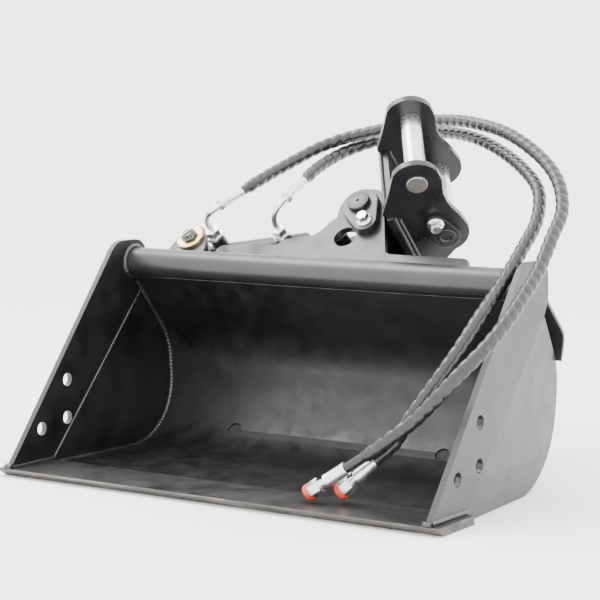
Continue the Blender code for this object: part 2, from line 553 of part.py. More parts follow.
def add_hose(number, route, middle, along, datum, zinc, rubber, cap):
    """Elbow, ferrule, hose, ferrule, nut and cap, from the cylinder's port to the free end."""
    points = catmull_rom([Vector(point) for point in route], HOSE_STEP)
    back = (points[0] - points[1]).normalized()
    fitting = (points[-1] - points[-2]).normalized()
    nut_top, up = port_exit(along, middle)
    length, lean_start, lean_end = ELBOWS[number - 1]
    ferrule_base = points[0] + back * (length + GAP)
    ferrule = ((0.0045, 0), (FERRULE_RADIUS - 0.001, 0), (FERRULE_RADIUS, 0.0015), (FERRULE_RADIUS, 0.0120),
               (0.0084, length), (0.0045, length))
    turned(f"hose_{number}_ferrule", ferrule, datum, zinc, 24, ferrule_base, -back)
    start, end = nut_top + up * 0.003, ferrule_base + back * 0.003
    reach = (end - start).length
    lean_in, lean_out = start + up * reach * lean_start, end + back * reach * lean_end
    bend = [nut_top + up * GAP]
    for step in range(13):
        t = step / 12
        bend.append(start * (1 - t) ** 3 + lean_in * 3 * t * (1 - t) ** 2 + lean_out * 3 * t * t * (1 - t)
                    + end * t ** 3)
    bend.append(ferrule_base + back * GAP)
    tube_curve(f"hose_{number}_elbow", bend, ELBOW_RADIUS, datum, zinc)

    hose = tube_curve(f"hose_{number}", points, HOSE_RADIUS, datum, rubber, 3)
    for place in (0, -2, -1):
        hose.data.splines[0].points[place].radius = BARE_HOSE
    end = points[-1] + fitting * GAP
    profile = ((0.0040, 0), *END_FERRULES[number - 1], (0.0070, 0.0440), (0.0070, END_FERRULE_LENGTH),
               (0.0040, END_FERRULE_LENGTH))
    turned(f"hose_{number}_end_ferrule", profile, datum, zinc, 24, end, fitting)
    nut = end + fitting * (END_FERRULE_LENGTH + GAP)
    hex_piece(f"hose_{number}_end_nut", END_NUT_AF, 0.0040, 0, END_NUT_LENGTH, datum, zinc, nut, fitting)
    turned(f"hose_{number}_cap", ((0, 0), (CAP_RADIUS, 0), (CAP_RADIUS, CAP_LENGTH - 0.002),
                                  (CAP_RADIUS - 0.0016, CAP_LENGTH), (0, CAP_LENGTH)), datum, cap, 24,
           nut + fitting * (END_NUT_LENGTH + GAP), fitting)


def build():
    clear_scene()
    paint = material("black_paint", (0.020, 0.020, 0.023), 0.38, 0.0)
    worn = material("worn_edge_paint", (0.085, 0.080, 0.075), 0.55, 0.3)
    bright = material("ground_steel", (0.62, 0.61, 0.59), 0.28, 1.0)
    chrome = material("hard_chrome", (0.75, 0.75, 0.76), 0.10, 1.0)
    zinc = material("white_zinc", (0.70, 0.70, 0.69), 0.32, 1.0)
    yellow = material("yellow_zinc", (0.62, 0.47, 0.22), 0.38, 1.0)
    bronze = material("bearing_bronze", (0.50, 0.33, 0.16), 0.40, 1.0)
    rubber = material("black_rubber", (0.018, 0.018, 0.018), 0.45, 0.0)
    cap = material("orange_cap", (0.75, 0.12, 0.05), 0.45, 0.0)

    datum = empty("datum", (0, -EDGE_DEPTH / 2, 0), (0, 0, 0))
    tilt = empty("tilt_frame", (0, TUBE_Y, TUBE_Z), (math.radians(45), 0, 0), datum)
    hanger = empty("hanger_frame", (0, PIVOT_Y, 0), (0, 0, -HANGER_ANGLE), tilt)
    cylinder = empty("cylinder_frame", (*ANCHOR, CYLINDER_Z), (0, 0, CYLINDER_ANGLE), tilt)

    add_bucket_body(datum, paint, worn)
    add_tilt_frame(tilt, paint, bright, zinc, yellow)
    add_hanger(hanger, paint, bright, zinc, bronze)
    add_cylinder(cylinder, paint, chrome, rubber, bright, zinc)
    add_hose(1, HOSE_1, NUT_MIDDLE[0], PORTS[0], datum, zinc, rubber, cap)
    add_hose(2, HOSE_2, NUT_MIDDLE[1], PORTS[1], datum, zinc, rubber, cap)


build()
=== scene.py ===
"""Looks for the tilting grading bucket: camera, light, materials and fine pieces around the CAD frame."""
import math
import random

import bmesh
import bpy
from mathutils import Matrix, Vector


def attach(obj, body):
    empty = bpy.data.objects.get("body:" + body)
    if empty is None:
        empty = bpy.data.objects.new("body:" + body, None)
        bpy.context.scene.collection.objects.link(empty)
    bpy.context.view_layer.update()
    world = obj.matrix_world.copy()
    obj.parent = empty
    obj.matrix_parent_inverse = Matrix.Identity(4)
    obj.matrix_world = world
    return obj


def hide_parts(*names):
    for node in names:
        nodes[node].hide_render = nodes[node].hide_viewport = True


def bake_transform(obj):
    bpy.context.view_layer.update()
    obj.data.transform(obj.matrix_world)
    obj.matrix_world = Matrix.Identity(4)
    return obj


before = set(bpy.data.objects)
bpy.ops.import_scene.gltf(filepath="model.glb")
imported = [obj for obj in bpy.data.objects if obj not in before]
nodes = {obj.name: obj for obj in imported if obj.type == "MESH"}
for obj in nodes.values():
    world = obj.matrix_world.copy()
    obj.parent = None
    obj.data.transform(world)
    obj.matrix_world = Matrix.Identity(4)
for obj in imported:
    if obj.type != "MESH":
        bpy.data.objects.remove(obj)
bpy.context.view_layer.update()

# Places and sizes that the frame's record doesn't hold, in metres, as in the CAD source
SHIFT_Y = -0.04525
TUBE_Y, TUBE_Z, TUBE_RADIUS = 0.316, 0.332, 0.02415
PIVOT_Y = 0.1635
HANGER_ANGLE = math.radians(63.37)
ANCHOR = (-0.3175, 0.077)
CYLINDER_Z = -0.082
CYLINDER_ANGLE = math.radians(12.549)

# The side view's curve, before the shift along y
EDGE_DEPTH = 0.0905
BACK_Y, HEEL_Z, HEEL_RADIUS = 0.4095, 0.122, 0.1155
UPPER_Z, UPPER_RADIUS, UPPER_DEGREES = 0.150, 0.1124, 38.7
SEAM_TOP, SEAM_BOTTOM = (0.340, 0.284), (0.096, 0.016)
RECESSES = ((-0.2166, 0.3757, 0.0404), (0.2012, 0.3729, 0.0377))
RECESS_REACH = 0.0128
SIDE_FACE, SIDE_TAPER = 0.3927, 0.08

# Pins and bolts: places are in the tilt plates' frame or the hanger's
PIN_RADIUS, PIN_CHAMFER_RADIUS, PIN_HALF = 0.0175, 0.0158, 0.0900
ARM_PIN, LINK_PIN = (0, 0.1265, 0.065), (0, 0.131, -0.060)
LINK_BOLT = (0.0938, 0.1250, -0.0250)
PIVOT_BOLT = (0.026, PIVOT_Y - 0.037, -0.0102)
RING_WELD = 0.0145

# The cylinder's ports, along the cylinder, and the middle height of each port's nut
PORTS = (0.0485, 0.1695)
NUT_MIDDLE = (-0.0135, -0.033)
NUT_REACH = 0.0070

# Hoses: the elbows' rows are ferrule length, lean at the nut and lean at the ferrule
HOSE_RADIUS = 0.0107
TOUCH_GAP = 0.0003
ELBOWS = ((0.055, 0.42, 0.42), (0.068, 0.60, 0.50))
ELBOW_RADIUS = 0.0053
END_FERRULE_LENGTH = 0.0520
END_NUT_LENGTH = 0.0185
GUARD_PITCH = 0.0195
BARE_START, BARE_END = 0.012, 0.030
BARE_FACTOR, VALLEY_RISE, CROWN_RISE = 0.765, 0.105, 0.150
HOSE_1 = (
    (-0.2167, 0.3995, 0.4551), (-0.2075, 0.4399, 0.4730), (-0.1987, 0.4827, 0.4898),
    (-0.1847, 0.5215, 0.5071), (-0.1677, 0.5565, 0.5242), (-0.1464, 0.5832, 0.5373),
    (-0.1139, 0.6033, 0.5492), (-0.0569, 0.6141, 0.5620), (0.0027, 0.6082, 0.5740),
    (0.0751, 0.5852, 0.5789), (0.1544, 0.5506, 0.5764), (0.2448, 0.5062, 0.5603),
    (0.3241, 0.4638, 0.5269), (0.3802, 0.4197, 0.4890), (0.4112, 0.3734, 0.4455),
    (0.4216, 0.3166, 0.4051), (0.4268, 0.2654, 0.3622), (0.4306, 0.2132, 0.3303),
    (0.4315, 0.1543, 0.2947), (0.4198, 0.1080, 0.2584), (0.3904, 0.0801, 0.2187),
    (0.3580, 0.0686, 0.1810), (0.3267, 0.0643, 0.1493), (0.2999, 0.0518, 0.1260),
    (0.2742, 0.0477, 0.1060), (0.2497, 0.0466, 0.0894), (0.2242, 0.0434, 0.0719),
)
HOSE_2 = (
    (-0.1390, 0.4780, 0.4726), (-0.1426, 0.5200, 0.4901), (-0.1404, 0.5627, 0.5060),
    (-0.1301, 0.5981, 0.5200), (-0.1086, 0.6240, 0.5320), (-0.0748, 0.6416, 0.5429),
    (-0.0212, 0.6470, 0.5528), (0.0554, 0.6237, 0.5577), (0.1400, 0.5809, 0.5506),
    (0.2172, 0.5349, 0.5305), (0.2919, 0.4780, 0.5014), (0.3430, 0.4281, 0.4694),
    (0.3644, 0.3792, 0.4265), (0.3682, 0.3256, 0.3875), (0.3687, 0.2844, 0.3575),
    (0.3690, 0.2388, 0.3266), (0.3676, 0.1865, 0.2917), (0.3580, 0.1469, 0.2513),
    (0.3402, 0.1231, 0.2129), (0.3193, 0.1049, 0.1755), (0.3015, 0.0903, 0.1441),
    (0.2850, 0.0745, 0.1065), (0.2590, 0.0697, 0.0820),
)

DATUM = Matrix.Translation((0, SHIFT_Y, 0))
TILT = DATUM @ Matrix.Translation((0, TUBE_Y, TUBE_Z)) @ Matrix.Rotation(math.radians(45), 4, "X")
HANGER = TILT @ Matrix.Translation((0, PIVOT_Y, 0)) @ Matrix.Rotation(-HANGER_ANGLE, 4, "Z")
CYLINDER = TILT @ Matrix.Translation((*ANCHOR, CYLINDER_Z)) @ Matrix.Rotation(CYLINDER_ANGLE, 4, "Z")


# ---------------------------------------------------------------- camera

CAMERA_PLACE = (1.773, -2.4299 + SHIFT_Y, 0.6375)
CAMERA_DOWN, CAMERA_TURN = 6.14, 33.43
LENS, SENSOR = 119.2, 36


def add_camera():
    camera = bpy.data.cameras.new("camera")
    camera.sensor_width = SENSOR
    camera.lens = LENS
    camera.clip_end = 50
    placed = bpy.data.objects.new("camera", camera)
    placed.location = CAMERA_PLACE
    placed.rotation_euler = (math.radians(90 - CAMERA_DOWN), 0, math.radians(CAMERA_TURN))
    bpy.context.scene.collection.objects.link(placed)
    bpy.context.scene.camera = placed


# ---------------------------------------------------------------- materials

def new_material(name):
    made = bpy.data.materials.new(name)
    made.use_nodes = True
    shader = made.node_tree.nodes["Principled BSDF"]
    return made, made.node_tree, shader


def add_node(tree, kind, **values):
    made = tree.nodes.new(kind)
    for key, value in values.items():
        if key in made.inputs:
            made.inputs[key].default_value = value
        else:
            setattr(made, key, value)
    return made


def object_coordinates(tree, scale=(1, 1, 1)):
    source = add_node(tree, "ShaderNodeTexCoord")
    mapping = add_node(tree, "ShaderNodeMapping")
    mapping.inputs["Scale"].default_value = scale
    tree.links.new(source.outputs["Object"], mapping.inputs["Vector"])
    return mapping.outputs["Vector"]


def noise(tree, scale, detail=4.0, stretch=(1, 1, 1)):
    made = add_node(tree, "ShaderNodeTexNoise", Scale=scale, Detail=detail)
    tree.links.new(object_coordinates(tree, stretch), made.inputs["Vector"])
    return made.outputs["Fac"]


def ramp(tree, value, stops):
    """A colour ramp. stops are (place, colour)."""
    made = add_node(tree, "ShaderNodeValToRGB")
    elements = made.color_ramp.elements
    while len(elements) < len(stops):
        elements.new(0.5)
    for element, (place, colour) in zip(elements, stops):
        element.position = place
        element.color = (*colour, 1)
    tree.links.new(value, made.inputs["Fac"])
    return made.outputs["Color"]


def spread(tree, value, low, high, low_in=0.3, high_in=0.7):
    made = add_node(tree, "ShaderNodeMapRange")
    for name, number in (("From Min", low_in), ("From Max", high_in), ("To Min", low), ("To Max", high)):
        made.inputs[name].default_value = number
    tree.links.new(value, made.inputs["Value"])
    return made.outputs["Result"]


def bump(tree, shader, heights):
    """Chained bumps. heights are (value, strength, distance in metres)."""
    last = None
    for value, strength, distance in heights:
        made = add_node(tree, "ShaderNodeBump", Strength=strength, Distance=distance)
        tree.links.new(value, made.inputs["Height"])
        if last:
            tree.links.new(last, made.inputs["Normal"])
        last = made.outputs["Normal"]
    tree.links.new(last, shader.inputs["Normal"])


def paint_material(name, dark, light, rough_low, rough_high, coat=0.25, texture=1.0):
    """Sprayed paint on rolled plate: soft mottling, orange peel and a thin clear gloss."""
    made, tree, shader = new_material(name)
    mottle = noise(tree, 14, 6)
    dust = noise(tree, 190, 5)
    tree.links.new(ramp(tree, mottle, ((0.32, dark), (0.70, light))), shader.inputs["Base Color"])
    tree.links.new(spread(tree, noise(tree, 32, 6), rough_low, rough_high), shader.inputs["Roughness"])
    shader.inputs["Coat Weight"].default_value = coat
    shader.inputs["Coat Roughness"].default_value = 0.22
    bump(tree, shader, ((noise(tree, 46, 3), 0.16 * texture, 0.0010), (dust, 0.10 * texture, 0.0004)))
    return made


def metal_material(name, dark, light, rough_low, rough_high, scale=240, strength=0.12):
    """Plated or ground metal: cloudy tone and fine marks."""
    made, tree, shader = new_material(name)
    shader.inputs["Metallic"].default_value = 1.0
    tone = ramp(tree, noise(tree, 60, 5), ((0.3, dark), (0.7, light)))
    tree.links.new(tone, shader.inputs["Base Color"])
    tree.links.new(spread(tree, noise(tree, scale, 4), rough_low, rough_high), shader.inputs["Roughness"])
    bump(tree, shader, ((noise(tree, scale, 3), strength, 0.0003),))
    return made


def plastic_material(name, dark, light, roughness, scale=350, strength=0.08, coat=0.0):
    """Moulded rubber or plastic: a slightly uneven tone and a fine grain."""
    made, tree, shader = new_material(name)
    tone = ramp(tree, noise(tree, 90, 4), ((0.3, dark), (0.7, light)))
    tree.links.new(tone, shader.inputs["Base Color"])
    gloss = spread(tree, noise(tree, 120, 4), roughness - 0.06, roughness + 0.08)
    tree.links.new(gloss, shader.inputs["Roughness"])
    shader.inputs["Coat Weight"].default_value = coat
    shader.inputs["Coat Roughness"].default_value = 0.15
    bump(tree, shader, ((noise(tree, scale, 3), strength, 0.0003),))
    return made


def worn_edge_material():
    """Paint scuffed through to brownish steel along the cutting edge's front."""
    made, tree, shader = new_material("worn_front")
    streaks = noise(tree, 26, 8, (0.5, 2.0, 5.0))
    stops = ((0.30, (0.030, 0.028, 0.026)), (0.52, (0.085, 0.078, 0.070)), (0.74, (0.22, 0.205, 0.185)))
    tree.links.new(ramp(tree, streaks, stops), shader.inputs["Base Color"])
    tree.links.new(spread(tree, noise(tree, 70, 6), 0.42, 0.70), shader.inputs["Roughness"])
    tree.links.new(spread(tree, streaks, 0.15, 0.75, 0.4, 0.75), shader.inputs["Metallic"])
    bump(tree, shader, ((noise(tree, 150, 6, (0.4, 1, 1)), 0.5, 0.0008),))
    return made


# Paints: darkest and lightest tone, lowest and highest roughness, gloss coat, texture
PAINT = paint_material(
    "black_paint", (0.0035, 0.0035, 0.0042), (0.0085, 0.0085, 0.0100), 0.26, 0.40, 0.15)
PLATE_PAINT = paint_material(
    "black_paint_outer", (0.011, 0.011, 0.0125), (0.019, 0.019, 0.0215), 0.34, 0.46, 0.25)
# black_paint_inside_painted_shade is the outer plate paint darkened for the bucket's interior and inward
# faces: painted shade
SHADED_INSIDE_PAINT = paint_material(
    "black_paint_inside_painted_shade", (0.0022, 0.0022, 0.0030), (0.0065, 0.0065, 0.0080), 0.30, 0.52, 0.05)
WELD_PAINT = paint_material(
    "black_paint_weld", (0.007, 0.007, 0.008), (0.022, 0.022, 0.024), 0.26, 0.40, 0.35, 1.8)
EDGE_TOP = paint_material(
    "black_paint_edge", (0.006, 0.006, 0.0065), (0.019, 0.0185, 0.018), 0.34, 0.55, 0.1, 1.6)
# black_paint_recess_painted_shade is a dark, matte paint in the two drain recesses: painted shade where the
# holes look dark
RECESS_SHADE_PAINT = paint_material(
    "black_paint_recess_painted_shade", (0.004, 0.004, 0.005), (0.007, 0.007, 0.008), 0.55, 0.70, 0.0)
WORN = worn_edge_material()

# Metals: darkest and lightest tone, lowest and highest roughness, scale and strength of the marks
GROUND = metal_material("ground_steel", (0.62, 0.61, 0.59), (0.78, 0.77, 0.75), 0.20, 0.34, 300, 0.08)
PIN_END = metal_material("pin_end", (0.23, 0.21, 0.19), (0.34, 0.32, 0.29), 0.42, 0.58)
CHROME = metal_material("hard_chrome", (0.76, 0.76, 0.77), (0.83, 0.83, 0.84), 0.06, 0.12, 500, 0.02)
ZINC = metal_material("white_zinc", (0.66, 0.66, 0.65), (0.84, 0.84, 0.83), 0.24, 0.40)
YELLOW = metal_material("yellow_zinc", (0.56, 0.39, 0.17), (0.78, 0.60, 0.32), 0.28, 0.42)
DARK_STEEL = metal_material("dark_steel", (0.10, 0.10, 0.105), (0.20, 0.20, 0.205), 0.34, 0.50)
BRONZE = metal_material("bearing_bronze", (0.45, 0.29, 0.13), (0.60, 0.42, 0.22), 0.28, 0.44)

# Rubber and plastic: darkest and lightest tone, roughness, scale and strength of the grain, gloss coat
RUBBER = plastic_material(
    "hose_guard", (0.0050, 0.0050, 0.0056), (0.0150, 0.0150, 0.0160), 0.30, 420, 0.16, 0.15)
SEAL = plastic_material("seal_rubber", (0.012, 0.012, 0.012), (0.022, 0.022, 0.022), 0.55)
ORANGE = plastic_material("orange_cap", (0.52, 0.035, 0.012), (0.70, 0.075, 0.026), 0.38, 500, 0.10, 0.1)


# ---------------------------------------------------------------- building blocks

CURVE_STEPS = 24
MERGE = 2e-5
FLAT_WITHIN = math.radians(0.5)
BEVEL_ABOVE = math.radians(32)


def to_object(name, bm, look, sharp=40, looks=()):
    """A smooth-shaded object with its sharp edges marked, and with its materials in their slots."""
    mesh = bpy.data.meshes.new(name)
    bm.to_mesh(mesh)
    bm.free()
    stale = mesh.attributes.get("custom_normal")
    if stale:
        mesh.attributes.remove(stale)
    for each in (look, *looks):
        mesh.materials.append(each)
    mesh.shade_smooth()
    mesh.set_sharp_from_angle(angle=math.radians(sharp))
    made = bpy.data.objects.new(name, mesh)
    bpy.context.scene.collection.objects.link(made)
    return made


def place(piece, body, slot, *replaced):
    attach(piece, body)
    if replaced:
        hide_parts(*replaced)
    return piece


def refined(node, body, look, slot="black_paint", width=0.0010, looks=(), choose=None):
    """The CAD node's own shape with rounded edges. choose picks a material number from a face."""
    bm = bmesh.new()
    bm.from_mesh(nodes[node].data)
    bmesh.ops.remove_doubles(bm, verts=bm.verts, dist=MERGE)
    bmesh.ops.dissolve_limit(bm, angle_limit=FLAT_WITHIN, verts=bm.verts, edges=bm.edges)
    sharp = [e for e in bm.edges if len(e.link_faces) == 2 and e.calc_face_angle(0) > BEVEL_ABOVE]
    bmesh.ops.bevel(bm, geom=sharp, offset=width, segments=2, profile=0.5, affect="EDGES",
                    clamp_overlap=True)
    for face in bm.faces:
        face.material_index = choose(face) if choose else 0
    piece = to_object(node + "_piece", bm, look, 19, looks)
    return place(piece, body, slot, node)


def sweep(name, points, radius, look, sides=16, ripple=None):
    """A closed tube along points. ripple gives a factor from distance along it and angle round it."""
    bm = bmesh.new()
    rings = []
    travelled = 0.0
    tangent = (points[1] - points[0]).normalized()
    across = tangent.orthogonal().normalized()
    for number, point in enumerate(points):
        before, after = points[max(number - 1, 0)], points[min(number + 1, len(points) - 1)]
        fresh = (after - before).normalized()
        across = tangent.rotation_difference(fresh) @ across
        across = (across - fresh * across.dot(fresh)).normalized()
        tangent = fresh
        beside = tangent.cross(across)
        if number:
            travelled += (point - points[number - 1]).length
        row = []
        for side in range(sides):
            angle = math.tau * side / sides
            reach = radius * (ripple(travelled, angle) if ripple else 1)
            row.append(bm.verts.new(point + (across * math.cos(angle) + beside * math.sin(angle)) * reach))
        rings.append(row)
    for low, high in zip(rings, rings[1:]):
        for side in range(sides):
            bm.faces.new((low[side], low[(side + 1) % sides], high[(side + 1) % sides], high[side]))
    bm.faces.new(rings[0][::-1])
    bm.faces.new(rings[-1])
    bmesh.ops.recalc_face_normals(bm, faces=bm.faces)
    return to_object(name, bm, look)


def turned(name, profile, matrix, look, sides=48, shape=None, looks=(), choose=None, sharp=32):
    """A solid of rows (radius, height) about z. shape gives a radius factor, choose a material number."""
    bm = bmesh.new()
    rows = []
    for number, (radius, height) in enumerate(profile):
        row = []
        for side in range(sides):
            angle = math.tau * side / sides
            reach = radius * (shape(number, angle) if shape else 1)
            corner = Vector((math.cos(angle) * reach, math.sin(angle) * reach, height))
            row.append(bm.verts.new(matrix @ corner))
        rows.append(row)
    for number, (low, high) in enumerate(zip(rows, rows[1:])):
        for side in range(sides):
            face = bm.faces.new((low[side], low[(side + 1) % sides], high[(side + 1) % sides], high[side]))
            face.material_index = choose(number) if choose else 0
    for row, number in ((rows[0][::-1], -1), (rows[-1], len(rows))):
        face = bm.faces.new(row)
        face.material_index = choose(number) if choose else 0
    bmesh.ops.recalc_face_normals(bm, faces=bm.faces)
    return to_object(name, bm, look, sharp, looks)


def aimed(base, axis):
    """A matrix with its origin at base and its z axis along axis."""
    return Matrix.Translation(base) @ Vector(axis).to_track_quat("Z", "Y").to_matrix().to_4x4()


def off_flat(angle):
    """The angle from the middle of a hexagon's nearest flat."""
    return (angle + math.pi / 6) % (math.pi / 3) - math.pi / 6


def hexagonal(rows):
    """A shape that makes rows hexagonal. rows gives each one's corners as a factor of its flats' radius."""
    def shape(number, angle):
        return min(1 / math.cos(off_flat(angle)), rows[number]) if number in rows else 1.0
    return shape


def catmull_rom(route, spacing):
    """A smooth curve through the route, as evenly spaced points."""
    points = [Vector(point) for point in route]
    padded = [2 * points[0] - points[1], *points, 2 * points[-1] - points[-2]]
    fine = []
    for a, b, c, d in zip(padded, padded[1:], padded[2:], padded[3:]):
        for step in range(CURVE_STEPS):
            t = step / CURVE_STEPS
            fine.append(0.5 * (2 * b + (c - a) * t + (2 * a - 5 * b + 4 * c - d) * t * t
                               + (3 * b - a - 3 * c + d) * t ** 3))
    fine.append(points[-1])
    return evenly(fine, spacing)


def evenly(points, spacing):
    """The same line with its points evenly spaced."""
    lengths = [0]
    for a, b in zip(points, points[1:]):
        lengths.append(lengths[-1] + (b - a).length)
    count = max(2, round(lengths[-1] / spacing))
    even, at = [], 0
    for step in range(count + 1):
        target = lengths[-1] * step / count
        while at < len(points) - 2 and lengths[at + 1] < target:
            at += 1
        share = (target - lengths[at]) / max(lengths[at + 1] - lengths[at], 1e-9)
        even.append(points[at].lerp(points[at + 1], share))
    return even


def weld(name, corners, radius, body, spacing=0.0011, pitch=0.0042):
    """A weld bead: overlapping ripples, a little uneven."""
    points = evenly([Vector(corner) for corner in corners], spacing)
    wander = random.Random(name)
    phase, swell = wander.random() * math.tau, wander.random() * math.tau

    def ripple(travelled, angle):
        scallop = abs(math.sin(math.pi * travelled / pitch + phase))
        return (0.88 + 0.14 * scallop + 0.06 * math.sin(travelled * 95 + swell)
                + 0.04 * math.sin(travelled * 410 + 2 * angle))

    piece = sweep(name, points, radius, WELD_PAINT, 12, ripple)
    return place(piece, body, "black_paint")


# ---------------------------------------------------------------- hoses

BEND_STEPS = 32
END_FERRULES = (
    ((0.0080, 0), (0.0104, 0.0004), (0.0108, 0.0014), (0.0107, 0.0060), (0.0107, 0.0360),
     (0.0112, 0.0375), (0.0111, 0.0404), (0.0104, 0.0410)),
    ((0.0080, 0), (0.0084, 0.0003), (0.0088, 0.0012), (0.0090, 0.0040), (0.0107, 0.0290),
     (0.0112, 0.0310), (0.0112, 0.0402), (0.0104, 0.0410)),
)
END_NECK = ((0.0074, 0.0412), (0.0070, 0.0440), (0.0070, 0.0470), (0.0078, 0.0474), (0.0078, 0.0515),
            (0.0060, 0.0520))


def port_exit(along, middle):
    """The top of a port's nut, and the direction in which it points."""
    x = ANCHOR[0] + along * math.cos(CYLINDER_ANGLE)
    y = ANCHOR[1] + along * math.sin(CYLINDER_ANGLE)
    low, high = TILT @ Vector((x, y, middle)), TILT @ Vector((x, y, middle + NUT_REACH))
    return high, (high - low).normalized()


def spiral_guard(length):
    """A hose in a spiral-wound guard: fat slanting turns with narrow gaps, and bare ends beyond the guard."""
    def shape(travelled, angle):
        if travelled < BARE_START or travelled > length - BARE_END:
            return BARE_FACTOR
        ease = min(1, (travelled - BARE_START) / 0.006, (length - BARE_END - travelled) / 0.010)
        turn = (travelled / GUARD_PITCH + angle / math.tau) % 1
        crown = math.sin(math.pi * turn) ** 0.7
        return BARE_FACTOR + ease * (VALLEY_RISE + CROWN_RISE * crown)

    return shape


def add_elbow(number, line, middle, along):
    """The bent tube from a port's nut and the crimped ferrule that the hose starts in."""
    nut_top, up = port_exit(along, middle)
    back = (line[0] - line[1]).normalized()
    ferrule_length, lean_start, lean_end = ELBOWS[number - 1]
    base = line[0] + back * (ferrule_length + TOUCH_GAP)
    start, end = nut_top + up * 0.003, base + back * 0.003
    reach = (end - start).length
    lean_in, lean_out = start + up * reach * lean_start, end + back * reach * lean_end
    bend = [nut_top - up * 0.002, nut_top]
    for step in range(BEND_STEPS + 1):
        t = step / BEND_STEPS
        bend.append(start * (1 - t) ** 3 + lean_in * 3 * t * (1 - t) ** 2 + lean_out * 3 * t * t * (1 - t)
                    + end * t ** 3)
    bend += [base, base - back * 0.004]
    elbow = sweep(f"hose_{number}_elbow_piece", evenly(bend, 0.0016), ELBOW_RADIUS, ZINC, 24)
    place(elbow, "cylinder", "white_zinc", f"hose_{number}_elbow")
    rows = ((0.0054, 0), (0.0088, 0.0004), (0.0098, 0.0016), (0.0098, 0.0085), (0.0094, 0.0100),
            (0.0090, 0.0140), (0.0082, ferrule_length - 0.0060), (0.0084, ferrule_length - 0.0050),
            (0.0084, ferrule_length - 0.0010), (0.0080, ferrule_length - 0.0003), (0.0070, ferrule_length))
    ferrule = crimped(f"hose_{number}_ferrule_piece", rows, (4, 5, 6), aimed(base, -back))
    place(ferrule, "cylinder", "white_zinc", f"hose_{number}_ferrule")


def knurl(row, angle):
    """Shallow grip grooves round a cap."""
    return 1 - 0.03 * (0.5 + 0.5 * math.cos(angle * 20)) ** 3 if 1 <= row <= 4 else 1.0


def add_hose_end(number, line):
    """The crimped ferrule, hexagonal nut and protective cap on a hose's free end."""
    fitting = (line[-1] - line[-2]).normalized()
    tip = line[-1] + fitting * TOUCH_GAP
    rows = END_FERRULES[number - 1] + END_NECK
    end_ferrule = crimped(f"hose_{number}_end_ferrule_piece", rows, (3, 4), aimed(tip, fitting))
    place(end_ferrule, "bucket", "white_zinc", f"hose_{number}_end_ferrule")
    nut_base = tip + fitting * (END_FERRULE_LENGTH + TOUCH_GAP)
    nut = turned(f"hose_{number}_end_nut_piece",
                 ((0.0062, -0.002), (0.0080, 0.0), (0.0114, 0.0), (0.0120, 0.0012), (0.0120, 0.0172),
                  (0.0116, END_NUT_LENGTH), (0.0080, END_NUT_LENGTH)),
                 aimed(nut_base, fitting), ZINC, 72, hexagonal({2: 1.04, 3: 1.155, 4: 1.155, 5: 1.10}))
    place(nut, "bucket", "white_zinc", f"hose_{number}_end_nut")
    cap = turned(f"hose_{number}_cap_piece",
                 ((0.0100, 0.0), (0.0132, 0.0), (0.0134, 0.0010), (0.0133, 0.0060), (0.0124, 0.0082),
                  (0.0112, 0.0090), (0.0060, 0.0090)),
                 aimed(nut_base + fitting * (END_NUT_LENGTH + TOUCH_GAP), fitting), ORANGE, 120, knurl)
    place(cap, "bucket", "orange_cap", f"hose_{number}_cap")
    return [end_ferrule, nut, cap]


def add_hose(number, route, middle, along):
    route = [DATUM @ Vector(point) for point in route]
    line = catmull_rom(route, 0.035)
    smooth = catmull_rom(route, 0.0011)
    length = sum((b - a).length for a, b in zip(smooth, smooth[1:]))
    hose = sweep(f"hose_{number}_piece", smooth, HOSE_RADIUS, RUBBER, 28, spiral_guard(length))
    add_elbow(number, line, middle, along)
    on_the_end = add_hose_end(number, line)
    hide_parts(f"hose_{number}")
    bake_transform(hose)


def crimped(name, rows, pressed, matrix):
    """A hose ferrule with twelve flats pressed into the given rows."""
    def crimp(row, angle):
        return 0.985 + 0.015 * abs(math.cos(6 * angle)) if row in pressed else 1.0

    return turned(name, rows, matrix, ZINC, 96, crimp, sharp=28)


add_camera()
add_hose(1, HOSE_1, NUT_MIDDLE[0], PORTS[0])
add_hose(2, HOSE_2, NUT_MIDDLE[1], PORTS[1])


# ---------------------------------------------------------------- bucket body

def add_bucket():
    def front_face(face):
        return 1 if face.normal.y < -0.30 or abs(face.normal.x) > 0.8 else 0

    heel = Vector((0, BACK_Y - HEEL_RADIUS + SHIFT_Y, HEEL_Z))

    # Faces turned towards the heel's centre get the darkened inside paint: painted shade
    def inside(face):
        centre = face.calc_center_median()
        inward = Vector((0, heel.y - centre.y, heel.z - centre.z))
        # Faces of the drain recesses get the dark recess paint: painted shade
        for x, y, z in RECESSES:
            near = (centre - Vector((x, y + SHIFT_Y, z))).length < RECESS_REACH
            if near and inward.length > HEEL_RADIUS + 0.0002:
                return 2
        return 1 if face.normal.dot(inward) > 0 else 0

    refined("shell", "bucket", PLATE_PAINT, looks=(SHADED_INSIDE_PAINT, RECESS_SHADE_PAINT), choose=inside,
            width=0.0006)
    for side, sign in (("left", -1), ("right", 1)):
        # Inward-facing faces of the sides get the darkened inside paint: painted shade
        def inner(face, sign=sign):
            return 1 if face.normal.x * sign < -0.5 else 0
        for part, width in (("plate", 0.0006), ("strip", 0.0012)):
            refined(f"{side}_side_{part}", "bucket", PLATE_PAINT, looks=(SHADED_INSIDE_PAINT,), choose=inner,
                    width=width)
    refined("torque_tube", "bucket", PLATE_PAINT, width=0.0006)
    refined("cutting_edge", "bucket", EDGE_TOP, "worn_edge_steel", 0.0008, (WORN,), front_face)
    refined("rear_stiffener", "bucket", PLATE_PAINT, width=0.0010)


